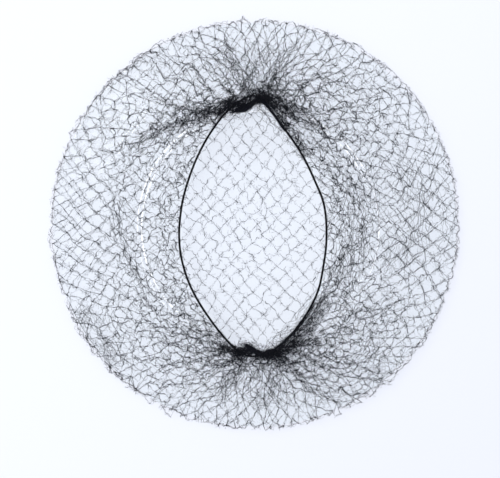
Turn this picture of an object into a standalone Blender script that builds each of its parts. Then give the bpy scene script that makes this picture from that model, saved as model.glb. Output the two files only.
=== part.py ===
"""Wig net drawn round an upturned clear plate, with its elastic mouth open on top.

The origin is on the table under the middle of the plate, +X is across the mouth, +Y runs along
the mouth to its far end, and +Z points up. All lengths are in metres.
"""

import math

import bmesh
import bpy
from mathutils import Vector

# Clearance between pieces that touch
FIT = 0.0003

# Clear plate, lying upside down on its rim
PLATE_RADIUS = 0.108
PLATE_WALL = 0.0020
PLATE_HEIGHT = 0.0225
RIM_WIDTH = 0.0235
RIM_RISE = 0.0045
FOOT_RADIUS = 0.0620
FOOT_WIDTH = 0.0030
FOOT_RISE = 0.0012

# Net
NET_WALL = 0.0010
STRAND_WIDTH = 0.0030
CELL_SIDE = 0.0235
LEAST_OF_A_GAP = 0.25
RIM_BAND = 0.0050
HEM_WIDTH = 0.0025

# Elastic and the mouth that it rings
ELASTIC_THICKNESS = 0.0012
MOUTH_WIDTH = 0.078
MOUTH_LENGTH = 0.136
MOUTH_MIDDLE_X = -0.0012
MOUTH_MIDDLE_Y = 0.0008

# Bunched ends of the net
TOP_THICKNESS = 0.0064
BOTTOM_THICKNESS = 0.0056
TWIST_DEPTH = 0.16
BUNCH_FLATNESS = 0.70
BUNCH_END = 0.35

ROUND_STEPS = 64
MOUTH_STEPS = 64
GATHER_STEPS = 26
GATHER_SIDES = 12

# Left and right reach of the mouth as shares of half its width, by share of its length
MOUTH_SHAPE = (
    # length, left, right
    (0.00, 0.00, 0.00),
    (0.03, 0.23, 0.31),
    (0.12, 0.51, 0.64),
    (0.24, 0.78, 0.86),
    (0.35, 0.93, 0.97),
    (0.46, 1.00, 1.00),
    (0.58, 0.95, 0.98),
    (0.68, 0.86, 0.86),
    (0.78, 0.72, 0.69),
    (0.87, 0.54, 0.47),
    (0.95, 0.31, 0.25),
    (1.00, 0.00, 0.00),
)

# Middle line of each bunch: across as a share of half the mouth's width, along as a share of
# half its length, both from the mouth's middle, and thickness as a share of the bunch's own
TOP_BUNCH = (
    # across, along, thickness
    (-0.46, 0.81, 0.30),
    (-0.30, 0.92, 0.86),
    (-0.12, 0.98, 0.94),
    (0.04, 1.01, 1.00),
    (0.19, 0.96, 0.72),
    (0.33, 0.83, 0.44),
    (0.46, 0.70, 0.26),
)
BOTTOM_BUNCH = (
    # across, along, thickness
    (-0.30, -0.94, 0.34),
    (-0.14, -1.00, 0.90),
    (0.04, -1.02, 1.00),
    (0.24, -0.99, 0.84),
    (0.46, -0.89, 0.66),
    (0.68, -0.75, 0.50),
    (0.86, -0.56, 0.30),
)
TOP_TURNS = 1.5
BOTTOM_TURNS = 2.0


def clear_scene():
    for thing in list(bpy.data.objects):
        bpy.data.objects.remove(thing, do_unlink=True)


def principled(name, colour, roughness, alpha=1.0):
    material = bpy.data.materials.new(name)
    material.use_nodes = True
    shader = material.node_tree.nodes["Principled BSDF"]
    shader.inputs["Base Color"].default_value = (*colour, 1.0)
    shader.inputs["Roughness"].default_value = roughness
    shader.inputs["Metallic"].default_value = 0.0
    shader.inputs["Alpha"].default_value = alpha
    return material


def add_object(name, mesh, material):
    thing = bpy.data.objects.new(name, mesh)
    bpy.context.scene.collection.objects.link(thing)
    thing.data.materials.append(material)
    return thing


def mesh_from(shape, name):
    bmesh.ops.recalc_face_normals(shape, faces=shape.faces)
    mesh = bpy.data.meshes.new(name)
    shape.to_mesh(mesh)
    shape.free()
    return mesh


def turned_mesh(name, profile):
    """Closed solid of a profile of (radius, height) points that starts and ends on the Z axis."""
    shape = bmesh.new()
    points = [shape.verts.new((radius, 0.0, height)) for radius, height in profile]
    edges = [shape.edges.new(pair) for pair in zip(points, points[1:])]
    bmesh.ops.spin(
        shape,
        geom=points + edges,
        cent=(0, 0, 0),
        axis=(0, 0, 1),
        angle=2 * math.pi,
        steps=ROUND_STEPS,
    )
    bmesh.ops.remove_doubles(shape, verts=shape.verts, dist=1e-6)
    return mesh_from(shape, name)


def prism_mesh(name, outlines, bottom, top):
    """Upright prisms, one on each closed outline of (x, y) points."""
    shape = bmesh.new()
    for outline in outlines:
        base = shape.faces.new([shape.verts.new((x, y, bottom)) for x, y in outline])
        raised = bmesh.ops.extrude_face_region(shape, geom=[base])["geom"]
        corners = [item for item in raised if isinstance(item, bmesh.types.BMVert)]
        bmesh.ops.translate(shape, vec=(0, 0, top - bottom), verts=corners)
    return mesh_from(shape, name)


def cut(thing, cutter, operation="DIFFERENCE"):
    """Cuts one object with another, which stays in the file as a wire guide."""
    cutter.hide_render = True
    cutter.display_type = "WIRE"
    boolean = thing.modifiers.new(f"{operation} {cutter.name}", "BOOLEAN")
    boolean.operation = operation
    boolean.object = cutter


def smooth_curve(points, steps, closed):
    """Points spaced evenly by parameter on a Catmull-Rom curve through the given points."""
    count = len(points)
    spans = count if closed else count - 1
    made = []
    for step in range(steps if closed else steps + 1):
        place = step * spans / steps
        index = min(int(place), spans - 1)
        share = place - index
        near = []
        for offset in (-1, 0, 1, 2):
            at = index + offset
            near.append(points[at % count if closed else min(max(at, 0), count - 1)])
        before, start, end, after = near
        made.append(
            0.5
            * (
                2 * start
                + (end - before) * share
                + (2 * before - 5 * start + 4 * end - after) * share**2
                + (3 * start - before - 3 * end + after) * share**3
            )
        )
    return made


# Heights of the plate, which stands on the net's back
PLATE_BOTTOM = NET_WALL + FIT
BASE_TOP = PLATE_BOTTOM + PLATE_HEIGHT
FOOT_TOP = BASE_TOP + FOOT_RISE
FOOT_OUTER = FOOT_RADIUS + FOOT_WIDTH / 2
FOOT_INNER = FOOT_RADIUS - FOOT_WIDTH / 2
RIM_TOP = PLATE_BOTTOM + PLATE_WALL


def plate_profile():
    """Outside from the base's middle out to the rim, then back along the inside."""
    wall_top = FOOT_OUTER + FOOT_RISE
    wall_foot = PLATE_RADIUS - RIM_WIDTH
    lip = PLATE_WALL / 4
    return (
        (0, BASE_TOP),
        (FOOT_INNER - FOOT_RISE, BASE_TOP),
        (FOOT_INNER, FOOT_TOP),
        (FOOT_OUTER, FOOT_TOP),
        (wall_top, BASE_TOP),
        (wall_foot, RIM_TOP + RIM_RISE),
        (PLATE_RADIUS - lip, RIM_TOP),
        (PLATE_RADIUS, RIM_TOP - lip),
        (PLATE_RADIUS, PLATE_BOTTOM + lip),
        (PLATE_RADIUS - lip, PLATE_BOTTOM),
        (PLATE_RADIUS - RIM_WIDTH / 4, PLATE_BOTTOM),
        (wall_foot - PLATE_WALL, PLATE_BOTTOM + RIM_RISE),
        (wall_top - PLATE_WALL, BASE_TOP - PLATE_WALL),
        (0, BASE_TOP - PLATE_WALL),
    )


# The net's inside: it lies on the foot ring and runs straight down from there to the rim
NET_INSIDE_TOP = FOOT_TOP + FIT
NET_INSIDE_RADIUS = PLATE_RADIUS + FIT
NET_OUTSIDE_TOP = NET_INSIDE_TOP + NET_WALL
NET_OUTSIDE_RADIUS = NET_INSIDE_RADIUS + NET_WALL
RIM_INSIDE_TOP = RIM_TOP + FIT
SHOULDER = FOOT_OUTER + FIT + NET_WALL / 2


NET_SLOPE = (NET_INSIDE_TOP - RIM_INSIDE_TOP) / (NET_INSIDE_RADIUS - SHOULDER)


def net_top(radius):
    """Height of the net's outer face over the plate at this radius."""
    return NET_OUTSIDE_TOP - max(radius - SHOULDER, 0) * NET_SLOPE


def pouch_profile(inner):
    """Half section of the pouch's outer or inner face, from its back's middle up and inwards."""
    wall = 0 if inner else NET_WALL
    radius = NET_INSIDE_RADIUS + wall
    bottom = NET_WALL - wall
    turn = PLATE_WALL / 4 + wall / 2
    return (
        (0, bottom),
        (radius - turn, bottom),
        (radius, bottom + turn),
        (radius, RIM_INSIDE_TOP + wall - turn),
        (radius - turn, RIM_INSIDE_TOP + wall),
        (SHOULDER, NET_INSIDE_TOP + wall),
        (0, NET_INSIDE_TOP + wall),
    )


def mouth_line(reach=0.0, steps=MOUTH_STEPS):
    """Points of the elastic's middle line, moved outwards by reach."""
    half_width = MOUTH_WIDTH / 2

    def place(length, side):
        across = MOUTH_MIDDLE_X + side * half_width
        return Vector((across, MOUTH_MIDDLE_Y + (length - 0.5) * MOUTH_LENGTH))

    right = [place(length, to_right) for length, _, to_right in MOUTH_SHAPE]
    left = [place(length, -to_left) for length, to_left, _ in MOUTH_SHAPE[1:-1]]
    line = smooth_curve(right + left[::-1], steps, closed=True)
    moved = []
    for index, point in enumerate(line):
        along_line = line[(index + 1) % steps] - line[index - 1]
        outwards = Vector((along_line.y, -along_line.x)).normalized()
        moved.append(point + outwards * reach)
    return moved


def is_inside(point, outline):
    """Whether the point lies inside the closed outline."""
    crossings = 0
    for start, end in zip(outline, outline[1:] + outline[:1]):
        if (start.y > point.y) != (end.y > point.y):
            share = (point.y - start.y) / (end.y - start.y)
            crossings += point.x < start.x + share * (end.x - start.x)
    return crossings % 2 == 1


def net_gaps(in_net):
    """Square gaps of the knotted net, with crossing strands at the origin and corners up."""
    half = (CELL_SIDE - STRAND_WIDTH) / math.sqrt(2)
    pitch = CELL_SIDE / math.sqrt(2)
    count = math.ceil(PLATE_RADIUS / pitch) + 1
    corners = (Vector((half, 0)), Vector((0, half)), Vector((-half, 0)), Vector((0, -half)))
    probes = [corner * share for corner in corners for share in (0, 0.4, 0.8)]
    gaps = []
    for column in range(-count, count + 1):
        for row in range(-count, count + 1):
            if (column + row) % 2 == 0:
                continue
            middle = Vector((column * pitch, row * pitch))
            if sum(in_net(middle + probe) for probe in probes) >= LEAST_OF_A_GAP * len(probes):
                gaps.append([middle + corner for corner in corners])
    return gaps


def make_plate(material):
    plate = add_object("display_plate", turned_mesh("display_plate", plate_profile()), material)
    plate.data.shade_smooth()
    plate.data.set_sharp_from_angle(angle=math.radians(25))


def make_net(material):
    """Thin pouch, opened at the mouth and cut through with the gaps between its strands."""
    net = add_object("netting", turned_mesh("netting", pouch_profile(inner=False)), material)
    hollow = add_object("net_hollow", turned_mesh("net_hollow", pouch_profile(inner=True)), material)
    cut(net, hollow)

    above = NET_OUTSIDE_TOP + NET_WALL
    edge_reach = ELASTIC_THICKNESS / 2 + FIT
    mouth = prism_mesh("mouth", [mouth_line(edge_reach)], PLATE_BOTTOM, above)
    cut(net, add_object("mouth", mouth, material))

    band = NET_OUTSIDE_RADIUS - RIM_BAND
    hem = mouth_line(edge_reach + HEM_WIDTH)
    disc = [
        (band * math.cos(turn), band * math.sin(turn))
        for turn in (2 * math.pi * (step + 0.5) / ROUND_STEPS for step in range(ROUND_STEPS))
    ]

    def in_back(point):
        return point.length < band

    def in_front(point):
        return point.length < band and not is_inside(point, hem)

    layers = (
        # name, where its gaps may be, bottom, top
        ("back_gaps", in_back, -NET_WALL, NET_WALL + FIT / 2),
        ("front_gaps", in_front, PLATE_BOTTOM, above),
    )
    for name, in_net, bottom, top in layers:
        gaps = add_object(name, prism_mesh(name, net_gaps(in_net), bottom, top), material)
        limit = prism_mesh(f"{name}_limit", [disc], bottom - NET_WALL, top + NET_WALL)
        cut(gaps, add_object(f"{name}_limit", limit, material), "INTERSECT")
        if name == "front_gaps":
            kept = prism_mesh("hem", [hem], bottom - NET_WALL, top + NET_WALL)
            cut(gaps, add_object("hem", kept, material))
        cut(net, gaps)


def make_elastic(material):
    """Closed thread round the mouth, which lies on what the net's edge lies on."""
    curve = bpy.data.curves.new("elastic_edge", "CURVE")
    curve.dimensions = "3D"
    curve.bevel_depth = ELASTIC_THICKNESS / 2
    curve.bevel_resolution = 2
    line = mouth_line()
    thread = curve.splines.new("POLY")
    thread.points.add(len(line) - 1)
    thread.use_cyclic_u = True
    for knot, point in zip(thread.points, line):
        seat = net_top(point.length) - NET_WALL
        knot.co = (point.x, point.y, seat + ELASTIC_THICKNESS / 2, 1.0)
    add_object("elastic_edge", curve, material)


def make_bunch(name, rows, thickness, turns, material):
    """Twisted tuft that lies on the net and the elastic, with rounded ends."""
    middle = Vector((MOUTH_MIDDLE_X, MOUTH_MIDDLE_Y, 0))
    table = [
        middle + Vector((x * MOUTH_WIDTH, y * MOUTH_LENGTH, share * thickness)) / 2
        for x, y, share in rows
    ]
    line = smooth_curve(table, GATHER_STEPS, closed=False)
    shape = bmesh.new()
    rings = []
    for index, point in enumerate(line):
        share = index / GATHER_STEPS
        radius = point.z * max(math.sqrt(1 - abs(2 * share - 1) ** 6), BUNCH_END)
        ahead = line[min(index + 1, GATHER_STEPS)] - line[max(index - 1, 0)]
        sideways = Vector((ahead.y, -ahead.x, 0)).normalized()
        clear = radius * (1 + TWIST_DEPTH) + FIT
        level = NET_OUTSIDE_TOP + clear * BUNCH_FLATNESS
        beyond_shoulder = math.hypot(point.x, point.y) - SHOULDER
        slanted = NET_OUTSIDE_TOP - beyond_shoulder * NET_SLOPE + clear * math.hypot(1, NET_SLOPE)
        thread_rise = max(ELASTIC_THICKNESS - NET_WALL, 0)
        middle = Vector((point.x, point.y, min(level, slanted) + thread_rise))
        ring = []
        for side in range(GATHER_SIDES):
            turn = 2 * math.pi * side / GATHER_SIDES
            lobes = 1 + TWIST_DEPTH * math.cos(2 * (turn - 2 * math.pi * turns * share))
            arm = sideways * math.cos(turn) + Vector((0, 0, math.sin(turn) * BUNCH_FLATNESS))
            ring.append(shape.verts.new(middle + arm * radius * lobes))
        rings.append(ring)
    for ring, following in zip(rings, rings[1:]):
        bmesh.ops.bridge_loops(
            shape,
            edges=[edge for loop in (ring, following) for edge in closed_edges(shape, loop)],
        )
    shape.faces.new(rings[0])
    shape.faces.new(rings[-1])
    tuft = add_object(name, mesh_from(shape, name), material)
    tuft.data.shade_smooth()


def closed_edges(shape, loop):
    """Edges of a closed loop of points, made where they are missing."""
    pairs = zip(loop, loop[1:] + loop[:1])
    return [shape.edges.get(pair) or shape.edges.new(pair) for pair in pairs]


def main():
    clear_scene()
    clear_plastic = principled("clear_plastic", (0.93, 0.96, 0.98), 0.06, alpha=0.25)
    net_yarn = principled("black_net_yarn", (0.012, 0.012, 0.014), 0.75)
    elastic_yarn = principled("black_elastic_yarn", (0.010, 0.010, 0.011), 0.60)
    make_plate(clear_plastic)
    make_net(net_yarn)
    make_elastic(elastic_yarn)
    make_bunch("gather_top", TOP_BUNCH, TOP_THICKNESS, TOP_TURNS, net_yarn)
    make_bunch("gather_bottom", BOTTOM_BUNCH, BOTTOM_THICKNESS, BOTTOM_TURNS, net_yarn)


main()
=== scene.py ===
"""Looks of a wig net drawn round an upturned clear plate, laid out as a Blender add-on.

All lengths are in metres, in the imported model's own frame: the origin is on the table under the
middle of the plate, +X is across the mouth, +Y runs to its far end and +Z points up.
"""

import math

import bpy
import numpy as np
from mathutils import Matrix, Vector


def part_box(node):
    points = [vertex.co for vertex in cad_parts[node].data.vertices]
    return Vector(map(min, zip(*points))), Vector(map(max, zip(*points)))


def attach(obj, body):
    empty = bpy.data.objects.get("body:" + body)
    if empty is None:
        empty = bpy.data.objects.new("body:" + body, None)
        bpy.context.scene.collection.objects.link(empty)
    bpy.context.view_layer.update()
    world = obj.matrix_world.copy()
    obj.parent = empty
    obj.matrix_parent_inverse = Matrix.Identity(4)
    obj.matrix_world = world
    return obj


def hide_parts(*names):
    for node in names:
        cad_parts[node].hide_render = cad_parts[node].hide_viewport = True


bl_info = {
    "name": "Wig Net on a Clear Plate",
    "version": (1, 0, 0),
    "blender": (4, 5, 0),
    "location": "3D View > Sidebar > Wig Net",
    "description": "Knotted wig net with elastic mouth and bunched ends, drawn round a clear plate",
    "category": "Object",
}

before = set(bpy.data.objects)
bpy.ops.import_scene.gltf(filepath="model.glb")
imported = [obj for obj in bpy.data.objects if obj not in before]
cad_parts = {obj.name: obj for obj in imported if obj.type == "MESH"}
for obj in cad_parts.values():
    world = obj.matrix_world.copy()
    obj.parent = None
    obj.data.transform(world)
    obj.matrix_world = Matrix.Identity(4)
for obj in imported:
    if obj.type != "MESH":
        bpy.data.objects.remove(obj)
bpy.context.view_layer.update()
PLATE_LOW, PLATE_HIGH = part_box("display_plate")

# Left and right reach of the mouth as shares of half its width, by share of its length
MOUTH_SHAPE = (
    # length, left, right
    (0.00, 0.00, 0.00),
    (0.03, 0.23, 0.30),
    (0.12, 0.51, 0.615),
    (0.24, 0.78, 0.855),
    (0.35, 0.93, 0.945),
    (0.46, 0.985, 0.985),
    (0.58, 0.95, 0.953),
    (0.68, 0.86, 0.82),
    (0.78, 0.72, 0.647),
    (0.87, 0.54, 0.43),
    (0.95, 0.31, 0.218),
    (1.00, 0.00, 0.00),
)

# Middle line of each bunch: across as a share of half the mouth's width, along as a share of
# half its length, both from the mouth's middle, thickness as a share of the bunch's own, and
# how far its loose ends stray
TOP_BUNCH = (
    # across, along, thickness, stray
    (-0.38, 0.82, 0.06, 0.0018),
    (-0.28, 0.87, 0.20, 0.0015),
    (-0.18, 0.89, 0.66, 0.0017),
    (-0.07, 0.915, 1.00, 0.0021),
    (0.05, 0.96, 0.85, 0.0022),
    (0.15, 0.95, 0.52, 0.0026),
    (0.30, 0.84, 0.40, 0.0028),
    (0.42, 0.73, 0.22, 0.0030),
)
BOTTOM_BUNCH = (
    # across, along, thickness, stray
    (-0.20, -0.885, 0.06, 0.0020),
    (-0.13, -0.90, 0.20, 0.0018),
    (-0.06, -0.92, 0.72, 0.0018),
    (0.04, -0.955, 1.00, 0.0020),
    (0.14, -0.98, 0.72, 0.0022),
    (0.32, -0.93, 0.34, 0.0026),
    (0.44, -0.87, 0.34, 0.0022),
    (0.64, -0.76, 0.36, 0.0024),
    (0.85, -0.58, 0.22, 0.0026),
)

# Where the net's first and last row of knots are drawn together, in the bunches' own shares
NEAR_TIE = (
    # across, along
    (0.00, -0.95),
    (0.07, -0.965),
    (0.14, -0.97),
    (0.23, -0.955),
)
FAR_TIE = (
    # across, along
    (-0.17, 0.90),
    (-0.07, 0.93),
    (0.02, 0.96),
    (0.13, 0.96),
)

# How far the net's edge stands out from the plate and how loose its loops are there, as a share
# of their mean reach, by direction in degrees from +X
NET_OUTREACH = (
    # direction, outwards, loops
    (0, 0.0000, 0.2),
    (40, 0.0010, 0.4),
    (60, 0.0010, 0.7),
    (90, 0.0000, 1.0),
    (135, 0.0000, 0.9),
    (170, 0.0006, 1.2),
    (200, 0.0000, 1.2),
    (230, 0.0012, 1.1),
    (260, 0.0000, 1.0),
    (300, 0.0012, 0.8),
    (320, 0.0008, 0.6),
    (340, 0.0000, 0.2),
    (360, 0.0000, 0.2),
)

# Folds that the loose net is drawn into over the plate: three places on each in shares of the
# plate's radius, the reach and strength of the pull, and the strands that lie heaped along it
NET_FOLDS = (
    # x1, y1, x2, y2, x3, y3, reach, pull, strands, stray
    (-0.616, 0.42, -0.676, 0.02, -0.526, -0.36, 0.008, 0.45, 20, 0.0014),
    (0.384, 0.38, 0.464, 0.01, 0.384, -0.38, 0.015, 0.34, 70, 0.0070),
    (-0.180, 0.565, -0.330, 0.60, -0.470, 0.615, 0.007, 0.30, 14, 0.0024),
    (-0.140, 0.53, -0.400, 0.505, -0.625, 0.38, 0.008, 0.42, 34, 0.0024),
    (-0.016, 0.62, -0.096, 0.77, -0.176, 0.90, 0.006, 0.40, 40, 0.0022),
    (0.014, 0.62, 0.094, 0.77, 0.164, 0.90, 0.006, 0.35, 26, 0.0024),
    (-0.006, 0.62, 0.004, 0.76, 0.014, 0.90, 0.006, 0.00, 60, 0.0060),
    (0.064, 0.585, 0.149, 0.475, 0.234, 0.345, 0.006, 0.00, 90, 0.0018),
    (-0.186, -0.54, -0.326, -0.52, -0.476, -0.57, 0.005, 0.10, 10, 0.0022),
    (-0.896, -0.36, -0.806, -0.52, -0.656, -0.68, 0.008, 0.20, 50, 0.0050),
    (-0.066, -0.62, -0.136, -0.74, -0.196, -0.86, 0.005, 0.35, 36, 0.0022),
    (0.064, -0.62, 0.214, -0.75, 0.354, -0.88, 0.005, 0.25, 20, 0.0024),
    (0.004, -0.62, 0.044, -0.76, 0.074, -0.90, 0.005, 0.00, 60, 0.0065),
    (0.329, -0.30, 0.239, -0.475, 0.084, -0.59, 0.007, 0.35, 110, 0.0024),
    (0.324, -0.33, 0.524, -0.41, 0.724, -0.38, 0.008, 0.20, 30, 0.0055),
    (0.724, 0.40, 0.764, 0.08, 0.704, -0.24, 0.010, 0.00, 70, 0.0110),
    (0.244, -0.80, 0.444, -0.72, 0.644, -0.58, 0.010, 0.00, 50, 0.0090),
    (0.230, 0.53, 0.310, 0.55, 0.410, 0.53, 0.012, -0.50, 0, 0.0),
    (-0.160, 0.66, -0.260, 0.70, -0.380, 0.71, 0.012, -0.50, 0, 0.0),
    (-0.420, 0.74, -0.560, 0.66, -0.700, 0.50, 0.014, -0.55, 0, 0.0),
)

# Painted glints on the foot ring's inner and outer edge, drawn as white scuffs that glow: their
# strength by direction in degrees from +X
RING_GLINTS = (
    # direction, inner, outer
    (0, 0.0, 0.5),
    (15, 0.1, 0.4),
    (35, 0.5, 0.6),
    (60, 0.5, 0.6),
    (80, 0.3, 0.2),
    (105, 0.5, 0.3),
    (125, 0.7, 0.6),
    (142, 0.7, 0.6),
    (160, 0.8, 0.5),
    (185, 0.8, 0.2),
    (205, 0.7, 0.3),
    (235, 0.4, 0.3),
    (250, 0.2, 0.1),
    (295, 0.0, 0.2),
    (320, 0.1, 0.3),
    (335, 0.0, 0.4),
    (360, 0.0, 0.5),
)

# Middle of the net's yarn: over the table, off the plate's rim and foot, and its turn at the rim
NET_OVER_TABLE = 0.0004
NET_OFF_RIM = 0.0003
NET_OFF_FOOT = 0.0008
NET_OVER_TOP = 0.0007
NET_TURN = 0.0009

# Knots higher than this lie on the plate, lower ones under it
UPPER_NET = 0.002

# Steps of the relaxation, its speed, how far a knot drifts on, and how hard slack yarn pushes
RELAX_STEPS = 1100
RELAX_SPEED = 0.9
RELAX_DRIFT = 0.93
SLACK_PUSH = 0.10

# Steps along a fold, along a bunch and round the elastic
FOLD_STEPS = 40
BUNCH_STEPS = 30
ELASTIC_STEPS = 512

# Two plies of a bunch, in shares of its radius: off its middle, their strands' and cores' radius
PLY_OUT = 0.45
PLY_STRANDS = 0.55
PLY_CORE = 0.36
BUNCH_YARN_RADIUS = 0.00006


def linear(colour):
    """Linear red, green and blue of an sRGB hex colour."""
    parts = [int(colour[at : at + 2], 16) / 255 for at in (1, 3, 5)]
    return tuple(p / 12.92 if p <= 0.04045 else ((p + 0.055) / 1.055) ** 2.4 for p in parts)


def setting(name, description, default, **kind):
    """Whole or decimal number for the panel, with its unit or limits."""
    make = bpy.props.IntProperty if isinstance(default, int) else bpy.props.FloatProperty
    return make(name=name, description=description, default=default, **kind)


def length_setting(name, description, default):
    return setting(name, description, default, unit="LENGTH", precision=5)


def share_setting(name, description, default):
    return setting(name, description, default, min=0.0, soft_max=1.0)


def angle_setting(name, description, degrees):
    return setting(name, description, math.radians(degrees), subtype="ANGLE")


def colour_setting(name, description, default):
    return bpy.props.FloatVectorProperty(
        name=name, description=description, default=linear(default), subtype="COLOR", size=3
    )


class ClearPlateSettings(bpy.types.PropertyGroup):
    radius: length_setting("Radius", "Radius of the plate over its rim", PLATE_HIGH.x)
    wall: length_setting("Wall", "Thickness of the moulded wall", 0.0020)
    rim_width: length_setting("Rim width", "Width of the flat rim", 0.0235)
    rim_rise: length_setting("Rim rise", "How far the rim climbs to the wall", 0.0045)
    foot_radius: length_setting("Foot radius", "Radius of the foot ring", 0.0620)
    foot_width: length_setting("Foot width", "Width of the foot ring's top", 0.0030)
    foot_rise: length_setting("Foot rise", "Height of the foot ring over the base", 0.0012)
    tint: colour_setting("Tint", "Colour of light that has passed the plastic", "#FEFFFF")
    # Colour and glow of the painted glints on the foot ring's edges, drawn as white scuffs
    scuff_glint: colour_setting("Wear", "Colour of the scuffed edge of the foot ring", "#FAFCFF")
    glint_glow: setting("Piped light", "Light that leaves the plastic at its scuffs", 0.9)


class ElasticSettings(bpy.types.PropertyGroup):
    thickness: length_setting("Thickness", "Thickness of the covered elastic", 0.00113)
    mouth_width: length_setting("Mouth width", "Widest part of the open mouth", 0.078)
    mouth_length: length_setting("Mouth length", "Mouth from point to point", 0.136)
    mouth_x: length_setting("Mouth across", "Middle of the mouth across the plate", -0.0030)
    mouth_y: length_setting("Mouth along", "Middle of the mouth along the plate", 0.0008)
    cover_pitch: length_setting("Cover pitch", "Spacing of the wound cover's turns", 0.00045)
    colour: colour_setting("Colour", "Colour of the wound cover", "#08080A")


class NettingSettings(bpy.types.PropertyGroup):
    columns: setting("Cells across", "Cells from one elastic to the other", 44, min=8)
    rows: setting("Rows", "Rows of knots from bunch to bunch", 66, min=8, step=2)
    side: length_setting("Cell side", "Yarn between two knots", 0.0061)
    slack_yarn: length_setting("Slack yarn", "Thickness of its main filament", 0.00017)
    taut_yarn: length_setting("Taut yarn", "Thickness of its main filament", 0.000124)
    fine_share: share_setting("Fine share", "Thickness of each finer filament", 0.55)
    hair: length_setting("Hair", "Thickness of a loose hair of the yarn", 0.0001)
    hairs: setting("Hairs", "Loose hairs along the yarn", 26000, min=1)
    knot: length_setting("Knot", "Thickness of a knot", 0.00074)
    unevenness: share_setting("Unevenness", "Spread of the cell sides", 0.20)
    curl: length_setting("Curl", "How far the crimped yarn strays from its line", 0.00036)
    kink: length_setting("Kink", "How far each short bend of the yarn strays", 0.00025)
    lift: length_setting("Lift", "How far slack yarn stands off the plate", 0.0005)
    fringe: length_setting("Fringe", "Mean reach of the loose loops at the rim", 0.0008)
    colour: colour_setting("Colour", "Colour of the nylon yarn", "#040508")
    # Lighter colour of the painted sheen on the yarn
    sheen_colour: colour_setting("Light colour", "Where crimped filaments catch light", "#12141D")


class BunchSettings(bpy.types.PropertyGroup):
    top: length_setting("Far bunch", "Thickness of the far bunch", 0.0037)
    bottom: length_setting("Near bunch", "Thickness of the near bunch", 0.0031)
    flatness: share_setting("Flatness", "Height of a bunch as a share of its width", 0.70)
    strands: setting("Strands", "Strands drawn together in a bunch", 150, min=8)
    loose_ends: setting("Loose ends", "Strands that stray beside a bunch", 120, min=8)
    top_turns: setting("Far turns", "Turns of twist in the far bunch", 1.5)
    bottom_turns: setting("Near turns", "Turns of twist in the near bunch", 2.0)


class StudioSettings(bpy.types.PropertyGroup):
    table: colour_setting("Table", "Colour of the opal sheet", "#8A8C8F")
    glow: setting("Glow", "Strength of the light from under the sheet", 0.610)
    room: colour_setting("Room", "Colour of the light from all round", "#F0F3FF")
    room_light: setting("Room light", "Strength of the light from all round", 0.87)
    key_light: setting("Key light", "Power of the softbox", 18.0, subtype="POWER")
    distance: length_setting("Camera distance", "Camera from the object", 0.90)
    tilt: angle_setting("Tilt", "How far the view leans from straight down", 4.6)
    direction: angle_setting("Direction", "Side that the camera leans to, from +X", 131)
    view_width: length_setting("View width", "Width of the picture at the table", 0.268)
    view_x: length_setting("View across", "Place on the table that the camera looks at", -0.0032)
    view_y: length_setting("View along", "Place on the table that the camera looks at", -0.0071)


class WigNetSettings(bpy.types.PropertyGroup):
    plate: bpy.props.PointerProperty(type=ClearPlateSettings, name="Clear plate")
    elastic: bpy.props.PointerProperty(type=ElasticSettings, name="Elastic edge")
    netting: bpy.props.PointerProperty(type=NettingSettings, name="Netting")
    bunches: bpy.props.PointerProperty(type=BunchSettings, name="Bunched ends")
    studio: bpy.props.PointerProperty(type=StudioSettings, name="Table and light")


def add_node(tree, kind, settings=(), **inputs):
    """Adds one node, sets its properties, and fills or links its inputs.

    An input's name has _ for a space, or is _ and its number. A node stands for its first output.
    """
    node = tree.nodes.new(kind)
    for name, value in dict(settings).items():
        setattr(node, name, value)
    for name, value in inputs.items():
        key = int(name[1:]) if name[0] == "_" else name.replace("_", " ")
        socket = node.inputs[key]
        if isinstance(value, bpy.types.Node):
            tree.links.new(value.outputs[0], socket)
        elif isinstance(value, bpy.types.NodeSocket):
            tree.links.new(value, socket)
        else:
            socket.default_value = value
    return node


def new_material(name):
    material = bpy.data.materials.new(name)
    material.use_nodes = True
    tree = material.node_tree
    tree.nodes.clear()
    return material, tree


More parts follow.
